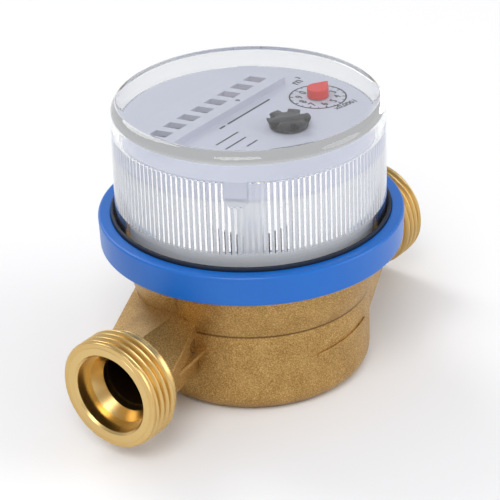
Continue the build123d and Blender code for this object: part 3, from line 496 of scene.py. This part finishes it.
def makeThread(name, settings):
    pitch = settings["pitch"]
    crest = settings["crestRadius"]
    foot = settings["rootRadius"] - settings["sunk"]
    profile = [
        (-0.48 * pitch, foot),
        (-0.43 * pitch, foot + settings["sunk"]),
        (-0.15 * pitch, crest - 0.16),
        (-0.06 * pitch, crest),
        (0.06 * pitch, crest),
        (0.15 * pitch, crest - 0.16),
        (0.43 * pitch, foot + settings["sunk"]),
        (0.48 * pitch, foot),
    ]
    clearSelection()
    bpy.ops.mesh.primitive_circle_add(vertices=len(profile), radius=1 * mm)
    thread = bpy.context.object
    thread.name = name
    for vertex, (along, radius) in zip(thread.data.vertices, profile):
        vertex.co = (along * mm, 0, radius * mm)
    winding = thread.modifiers.new("winding", "SCREW")
    winding.axis = "X"
    winding.angle = 2 * math.pi * settings["turns"]
    winding.screw_offset = pitch * settings["turns"] * mm
    winding.steps = int(settings["stepsPerTurn"] * settings["turns"])
    winding.render_steps = winding.steps
    winding.use_merge_vertices = False
    applyAll(thread)
    perStep = len(profile)
    steps = len(thread.data.vertices) // perStep
    for number, vertex in enumerate(thread.data.vertices):
        turnsLeft = settings["turns"] * (1 - (number // perStep) / (steps - 1))
        fade = min(1.0, turnsLeft / settings["runOut"])
        along = vertex.co.x / mm + settings["firstCrest"]
        radius = math.hypot(vertex.co.y, vertex.co.z) / mm
        wanted = foot + (radius - foot) * fade
        along = max(along, settings["endGap"])
        wanted = min(wanted, settings["chamferRadius"] + along)
        vertex.co.x = (along - settings["endX"]) * mm
        vertex.co.y *= wanted / radius
        vertex.co.z = vertex.co.z * wanted / radius + settings["axisHeight"] * mm
    bpy.ops.object.mode_set(mode="EDIT")
    bpy.ops.mesh.select_mode(type="EDGE")
    bpy.ops.mesh.select_all(action="DESELECT")
    bpy.ops.mesh.select_non_manifold()
    bpy.ops.mesh.edge_face_add()
    bpy.ops.mesh.select_all(action="SELECT")
    bpy.ops.mesh.quads_convert_to_tris()
    bpy.ops.mesh.normals_make_consistent(inside=False)
    bpy.ops.object.mode_set(mode="OBJECT")
    bpy.ops.object.shade_smooth_by_angle(angle=math.radians(50))
    paint(thread, turnedBrass)
    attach(thread, "meter_body")
    return thread


def copyPiece(piece, name):
    pickOnly(piece)
    bpy.ops.object.duplicate(linked=False)
    copy = bpy.context.object
    copy.name = name
    copy.data.name = name
    return copy


collarSettings = {
    "innerRadius": 11.5,
    "outerRadius": 12.85,
    "length": 1.0,
    "fromEnd": 0.03,
    "edgeRound": 0.22,
    "vertices": 128,
}


def makeCollar(name, settings, thread):
    clearSelection()
    bpy.ops.mesh.primitive_circle_add(vertices=settings["vertices"], radius=settings["innerRadius"] * mm)
    collar = bpy.context.object
    collar.name = name
    growth = settings["outerRadius"] / settings["innerRadius"]
    bpy.ops.object.mode_set(mode="EDIT")
    bpy.ops.mesh.select_all(action="SELECT")
    bpy.ops.mesh.extrude_edges_move()
    bpy.ops.transform.resize(value=(growth, growth, 1), center_override=(0, 0, 0))
    bpy.ops.mesh.select_all(action="SELECT")
    bpy.ops.mesh.extrude_region_move(TRANSFORM_OT_translate={"value": (0, 0, settings["length"] * mm)})
    bpy.ops.mesh.select_all(action="SELECT")
    bpy.ops.mesh.normals_make_consistent(inside=False)
    bpy.ops.object.mode_set(mode="OBJECT")
    edge = collar.modifiers.new("edge", "BEVEL")
    edge.width = settings["edgeRound"] * mm
    edge.segments = 3
    edge.limit_method = "ANGLE"
    applyAll(collar)
    collar.rotation_euler.y = math.pi / 2
    collar.location = Vector((settings["fromEnd"] - thread["endX"], 0, thread["axisHeight"])) * mm
    settle(collar)
    bpy.ops.object.shade_smooth_by_angle(angle=math.radians(40))
    paint(collar, turnedBrass)
    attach(collar, "meter_body")
    return collar


outletCollar = makeCollar("outlet_end_collar", collarSettings, threadSettings)
inletCollar = copyPiece(outletCollar, "inlet_end_collar")
inletCollar.rotation_euler.z = math.pi
settle(inletCollar)
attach(inletCollar, "meter_body")

outletThread = makeThread("outlet_thread_ridge", threadSettings)
inletThread = copyPiece(outletThread, "inlet_thread_ridge")
inletThread.rotation_euler.z = math.pi
settle(inletThread)
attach(inletThread, "meter_body")
print("threads made")


# Small flat prints: letters, bars and rings
def centreMesh(piece):
    spots = list(zip(*(vertex.co for vertex in piece.data.vertices)))
    middle = Vector([(min(along) + max(along)) / 2 for along in spots])
    for vertex in piece.data.vertices:
        vertex.co -= middle


def makeWords(words, size, thickness=0.0, stretch=1.0, boldness=0.02):
    clearSelection()
    bpy.ops.object.text_add(location=(0, 0, 0))
    text = bpy.context.object
    text.data.body = words
    text.data.size = size * mm
    text.data.resolution_u = 4
    text.data.extrude = thickness / 2 * mm
    text.data.offset = boldness * size * mm
    bpy.ops.object.convert(target="MESH")
    text = bpy.context.object
    centreMesh(text)
    for vertex in text.data.vertices:
        vertex.co.x *= stretch
    return text


def place(piece, x, y, z, turn=0.0, tilt=0.0):  # mm and degrees
    piece.matrix_world = (
        Matrix.Translation(Vector((x, y, z)) * mm)
        @ Matrix.Rotation(math.radians(tilt), 4, "X")
        @ Matrix.Rotation(math.radians(turn), 4, "Z")
    )
    settle(piece)
    return piece


def makeBar(length, width, thickness):
    clearSelection()
    bpy.ops.mesh.primitive_plane_add(size=1)
    bar = bpy.context.object
    bar.scale = (length * mm, width * mm, 1)
    settle(bar)
    bpy.ops.object.mode_set(mode="EDIT")
    bpy.ops.mesh.select_all(action="SELECT")
    bpy.ops.mesh.extrude_region_move(TRANSFORM_OT_translate={"value": (0, 0, thickness * mm)})
    bpy.ops.mesh.select_all(action="SELECT")
    bpy.ops.mesh.normals_make_consistent(inside=False)
    bpy.ops.object.mode_set(mode="OBJECT")
    return bar


def makeRing(radius, width, thickness):
    clearSelection()
    bpy.ops.mesh.primitive_circle_add(vertices=96, radius=(radius - width / 2) * mm)
    ring = bpy.context.object
    growth = (radius + width / 2) / (radius - width / 2)
    bpy.ops.object.mode_set(mode="EDIT")
    bpy.ops.mesh.select_all(action="SELECT")
    bpy.ops.mesh.extrude_edges_move()
    bpy.ops.transform.resize(value=(growth, growth, 1), center_override=(0, 0, 0))
    bpy.ops.mesh.select_all(action="SELECT")
    bpy.ops.mesh.extrude_region_move(TRANSFORM_OT_translate={"value": (0, 0, thickness * mm)})
    bpy.ops.mesh.select_all(action="SELECT")
    bpy.ops.mesh.normals_make_consistent(inside=False)
    bpy.ops.object.mode_set(mode="OBJECT")
    return ring


# Digits round each number roller
digitSettings = {
    "rollers": 8,
    "redRollers": 3,
    "firstX": 16.55,
    "pitch": 5.16,
    "axisY": 10.1,
    "axisZ": 55.5,
    "drumRadius": 5.0,
    "size": 4.9,
    "stretch": 0.82,
    "slices": 8,
    "sliceStep": 0.45,
    "proud": 0.015,
    "thickness": 0.03,
}


def makeDigit(digit, settings, drum):
    text = makeWords(str(digit), settings["size"], stretch=settings["stretch"])
    pickOnly(text)
    bpy.ops.object.mode_set(mode="EDIT")
    for cut in range(settings["slices"]):
        offset = (cut - (settings["slices"] - 1) / 2) * settings["sliceStep"] * mm
        bpy.ops.mesh.select_all(action="SELECT")
        bpy.ops.mesh.bisect(plane_co=(0, offset, 0), plane_no=(0, 1, 0))
    bpy.ops.object.mode_set(mode="OBJECT")
    axis = Vector((settings["firstX"], settings["axisY"], settings["axisZ"])) * mm
    top = settings["axisZ"] + settings["drumRadius"] + 1
    place(text, settings["firstX"], settings["axisY"], top)
    wrap = text.modifiers.new("wrap", "SHRINKWRAP")
    wrap.target = drum
    wrap.wrap_method = "PROJECT"
    wrap.use_project_z = True
    wrap.use_negative_direction = True
    wrap.use_positive_direction = False
    wrap.offset = settings["proud"] * mm
    skin = text.modifiers.new("skin", "SOLIDIFY")
    skin.thickness = settings["thickness"] * mm
    skin.offset = 0
    applyAll(text)
    turn = Matrix.Rotation(math.radians(36 * digit), 4, "X")
    text.matrix_world = Matrix.Translation(axis) @ turn @ Matrix.Translation(-axis)
    settle(text)
    return text


def makeDigits(settings):
    drum = nodes["number_roller_1"]
    band = joinPieces([makeDigit(digit, settings, drum) for digit in range(10)], "roller_digits_1")
    later = range(2, settings["rollers"] + 1)
    bands = [band] + [copyPiece(band, f"roller_digits_{number}") for number in later]
    for index, piece in enumerate(bands):
        red = index < settings["redRollers"]
        piece.location.x = -index * settings["pitch"] * mm
        settle(piece)
        paint(piece, finishes["pointer_red" if red else "star_black"])
        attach(piece, f"number_roller_{index + 1}")


makeDigits(digitSettings)
print("digits made")

# Prints on the dial
dialSettings = {
    "dialZ": 61.3,
    "lift": 0.01,
    "thickness": 0.03,
    "scaleX": 18.1,
    "scaleY": -7.04,
    "ringRadius": 6.65,
    "ringWidth": 0.36,
    "numberRadius": 4.4,
    "numberSize": 2.75,
    "numberStretch": 0.85,
    "longTick": (5.7, 6.55, 0.3),  # from, to and width
    "shortTick": (6.05, 6.55, 0.22),
    "factorPlace": (17.75, -15.0),
    "factorSize": 2.15,
    "factorTurn": -13.0,
    "unitPlace": (22.4, 1.8),
    "unitSize": 3.6,
    "powerPlace": (24.6, 3.2),
    "powerSize": 1.9,
    "commaPlace": (3.65, 5.5),
    "commaSize": 5.0,
    "stripFrontY": 4.0,
    "stripBackY": 18.9,
    "stripRise": 1.7,
    "barRows": [  # left end, right end, middle height and width of each row
        (-8.6, -6.6, 1.7, 0.5),
        (-5.6, 10.8, 1.7, 0.5),
        (-16.0, -7.8, -2.8, 0.38),
        (-16.6, -9.0, -5.9, 0.38),
        (-12.8, -8.9, -9.0, 0.38),
    ],
}


def makeDialPrint(settings):
    z = settings["dialZ"] + settings["lift"]
    thickness = settings["thickness"]
    centreX = settings["scaleX"]
    centreY = settings["scaleY"]
    marks = [place(makeRing(settings["ringRadius"], settings["ringWidth"], thickness), centreX, centreY, z)]
    for step in range(20):
        start, end, width = settings["shortTick" if step % 2 else "longTick"]
        angle = 90 - 18 * step
        reach = (start + end) / 2
        x = centreX + reach * math.cos(math.radians(angle))
        y = centreY + reach * math.sin(math.radians(angle))
        marks.append(place(makeBar(end - start, width, thickness), x, y, z, turn=angle))
    for number in range(10):
        angle = math.radians(90 - 36 * number)
        words = makeWords(str(number), settings["numberSize"], thickness, settings["numberStretch"])
        x = centreX + settings["numberRadius"] * math.cos(angle)
        y = centreY + settings["numberRadius"] * math.sin(angle)
        marks.append(place(words, x, y, z + thickness / 2))
    factor = makeWords("x0,0001", settings["factorSize"], thickness)
    marks.append(place(factor, *settings["factorPlace"], z + thickness / 2, turn=settings["factorTurn"]))
    unit = makeWords("m", settings["unitSize"], thickness)
    marks.append(place(unit, *settings["unitPlace"], z + thickness / 2))
    power = makeWords("3", settings["powerSize"], thickness)
    marks.append(place(power, *settings["powerPlace"], z + thickness / 2))
    fall = settings["stripRise"] / (settings["stripBackY"] - settings["stripFrontY"])
    commaX, commaY = settings["commaPlace"]
    stripZ = settings["dialZ"] + settings["stripRise"] - fall * (commaY - settings["stripFrontY"])
    comma = makeWords(",", settings["commaSize"], thickness)
    slope = -math.degrees(math.atan(fall))
    marks.append(place(comma, commaX, commaY, stripZ + settings["lift"] + thickness / 2, tilt=slope))
    for left, right, y, width in settings["barRows"]:
        marks.append(place(makeBar(right - left, width, thickness), (left + right) / 2, y, z))
    dialPrint = joinPieces(marks, "dial_print")
    paint(dialPrint, finishes["star_black"])
    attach(dialPrint, "head")


makeDialPrint(dialSettings)
print("dial prints made")

# Black lip of the seal, between the ring and the cap
sealSettings = {"radius": 32.65, "width": 0.66, "bottom": 40.3, "height": 1.2, "edgeRound": 0.2}


def makeSealLip(settings):
    lip = makeRing(settings["radius"], settings["width"], settings["height"])
    edge = lip.modifiers.new("edge", "BEVEL")
    edge.width = settings["edgeRound"] * mm
    edge.segments = 2
    applyAll(lip)
    place(lip, 0, 0, settings["bottom"])
    bpy.ops.object.shade_smooth_by_angle(angle=math.radians(40))
    lip.name = "seal_lip"
    paint(lip, finishes["seal_rubber"])
    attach(lip, "meter_body")


makeSealLip(sealSettings)
print("seal lip made")

# Star wheel with six notches over a whole foot
starSettings = {
    "place": (0.85, -10.88),
    "bottom": 61.6,
    "height": 1.9,
    "footHeight": 0.4,
    "baseRadius": 4.5,
    "topRadius": 5.12,
    "rootRadius": 3.0,
    "notches": 6,
    "notchHalfAngle": 12.5,
    "notchTurn": -10.0,
    "points": 240,
    "edgeRound": 0.12,
}


def makeStar(settings):
    clearSelection()
    bpy.ops.mesh.primitive_circle_add(vertices=settings["points"], radius=settings["baseRadius"] * mm)
    star = bpy.context.object
    spacing = 360 / settings["notches"]
    for vertex in star.data.vertices:
        angle = math.degrees(math.atan2(vertex.co.y, vertex.co.x)) - settings["notchTurn"]
        fromNotch = abs((angle + spacing / 2) % spacing - spacing / 2)
        wall = min(1.0, fromNotch / settings["notchHalfAngle"]) ** 6
        radius = settings["rootRadius"] + (settings["baseRadius"] - settings["rootRadius"]) * wall
        vertex.co *= radius / settings["baseRadius"]
    growth = settings["topRadius"] / settings["baseRadius"]
    rise = settings["height"] - settings["footHeight"]
    bpy.ops.object.mode_set(mode="EDIT")
    bpy.ops.mesh.select_all(action="SELECT")
    bpy.ops.mesh.edge_face_add()
    bpy.ops.mesh.extrude_region_move(TRANSFORM_OT_translate={"value": (0, 0, rise * mm)})
    bpy.ops.transform.resize(value=(growth, growth, 1), center_override=(0, 0, rise * mm))
    bpy.ops.mesh.select_all(action="SELECT")
    bpy.ops.mesh.normals_make_consistent(inside=False)
    bpy.ops.object.mode_set(mode="OBJECT")
    edge = star.modifiers.new("edge", "BEVEL")
    edge.width = settings["edgeRound"] * mm
    edge.segments = 2
    edge.limit_method = "ANGLE"
    edge.angle_limit = math.radians(50)
    applyAll(star)
    place(star, *settings["place"], settings["bottom"] + settings["footHeight"])
    clearSelection()
    bpy.ops.mesh.primitive_cylinder_add(
        vertices=96, radius=settings["baseRadius"] * mm, depth=(settings["footHeight"] + 0.02) * mm
    )
    foot = bpy.context.object
    edge = foot.modifiers.new("edge", "BEVEL")
    edge.width = settings["edgeRound"] * mm
    edge.segments = 2
    edge.limit_method = "ANGLE"
    applyAll(foot)
    place(foot, *settings["place"], settings["bottom"] + settings["footHeight"] / 2 + 0.01)
    star = joinPieces([star, foot], "notched_star")
    bpy.ops.object.shade_smooth_by_angle(angle=math.radians(35))
    paint(star, finishes["star_black"])
    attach(star, "star")
    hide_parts("star_wheel")


makeStar(starSettings)
print("star made")

# The necks' flares carried on into the shell
rootSettings = {
    "axisHeight": 16.4,
    "outerX": 20.6,
    "innerX": 13.0,
    "ridgeRise": (9.09, 9.21),  # at the outer and the inner end
    "flareY": (20.9, 24.28),
    "halfHeight": 3.6,
    "edgeRound": 0.35,
}


def makeFlareRoot(name, settings, turn):
    clearSelection()
    bpy.ops.mesh.primitive_cube_add(size=2)
    root = bpy.context.object
    for vertex in root.data.vertices:
        end = 0 if vertex.co.x < 0 else 1
        side = 1 if vertex.co.z > 0 else -1
        x = -(settings["innerX"] if end else settings["outerX"])
        if vertex.co.y > 0:
            spot = (x, settings["flareY"][end], settings["axisHeight"] + side * settings["halfHeight"])
        else:
            spot = (x, 0, settings["axisHeight"] + side * settings["ridgeRise"][end])
        vertex.co = Vector(spot) * mm
    edge = root.modifiers.new("edge", "BEVEL")
    edge.width = settings["edgeRound"] * mm
    edge.segments = 3
    applyAll(root)
    root.rotation_euler.z = math.radians(turn)
    settle(root)
    bpy.ops.object.shade_smooth_by_angle(angle=math.radians(40))
    root.name = name
    paint(root, finishes["cast_brass"])
    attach(root, "meter_body")


makeFlareRoot("outlet_flare_root", rootSettings, 0)
makeFlareRoot("inlet_flare_root", rootSettings, 180)
print("neck roots made")

# Small lump left by the casting
nubSettings = {"place": (-27.7, 1.67, 5.4), "size": (0.9, 1.9, 1.3)}


def makeNub(settings):
    clearSelection()
    bpy.ops.mesh.primitive_ico_sphere_add(subdivisions=3, radius=1 * mm)
    nub = bpy.context.object
    for vertex in nub.data.vertices:
        x, y, z = vertex.co / mm
        vertex.co *= 1 + 0.16 * math.sin(3.1 * y + 1.3) + 0.12 * math.sin(4.3 * z + 2.1 * x)
    nub.scale = settings["size"]
    nub.location = Vector(settings["place"]) * mm
    settle(nub)
    bpy.ops.object.shade_smooth_by_angle(angle=math.radians(40))
    nub.name = "casting_nub"
    paint(nub, finishes["cast_brass"])
    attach(nub, "meter_body")


makeNub(nubSettings)
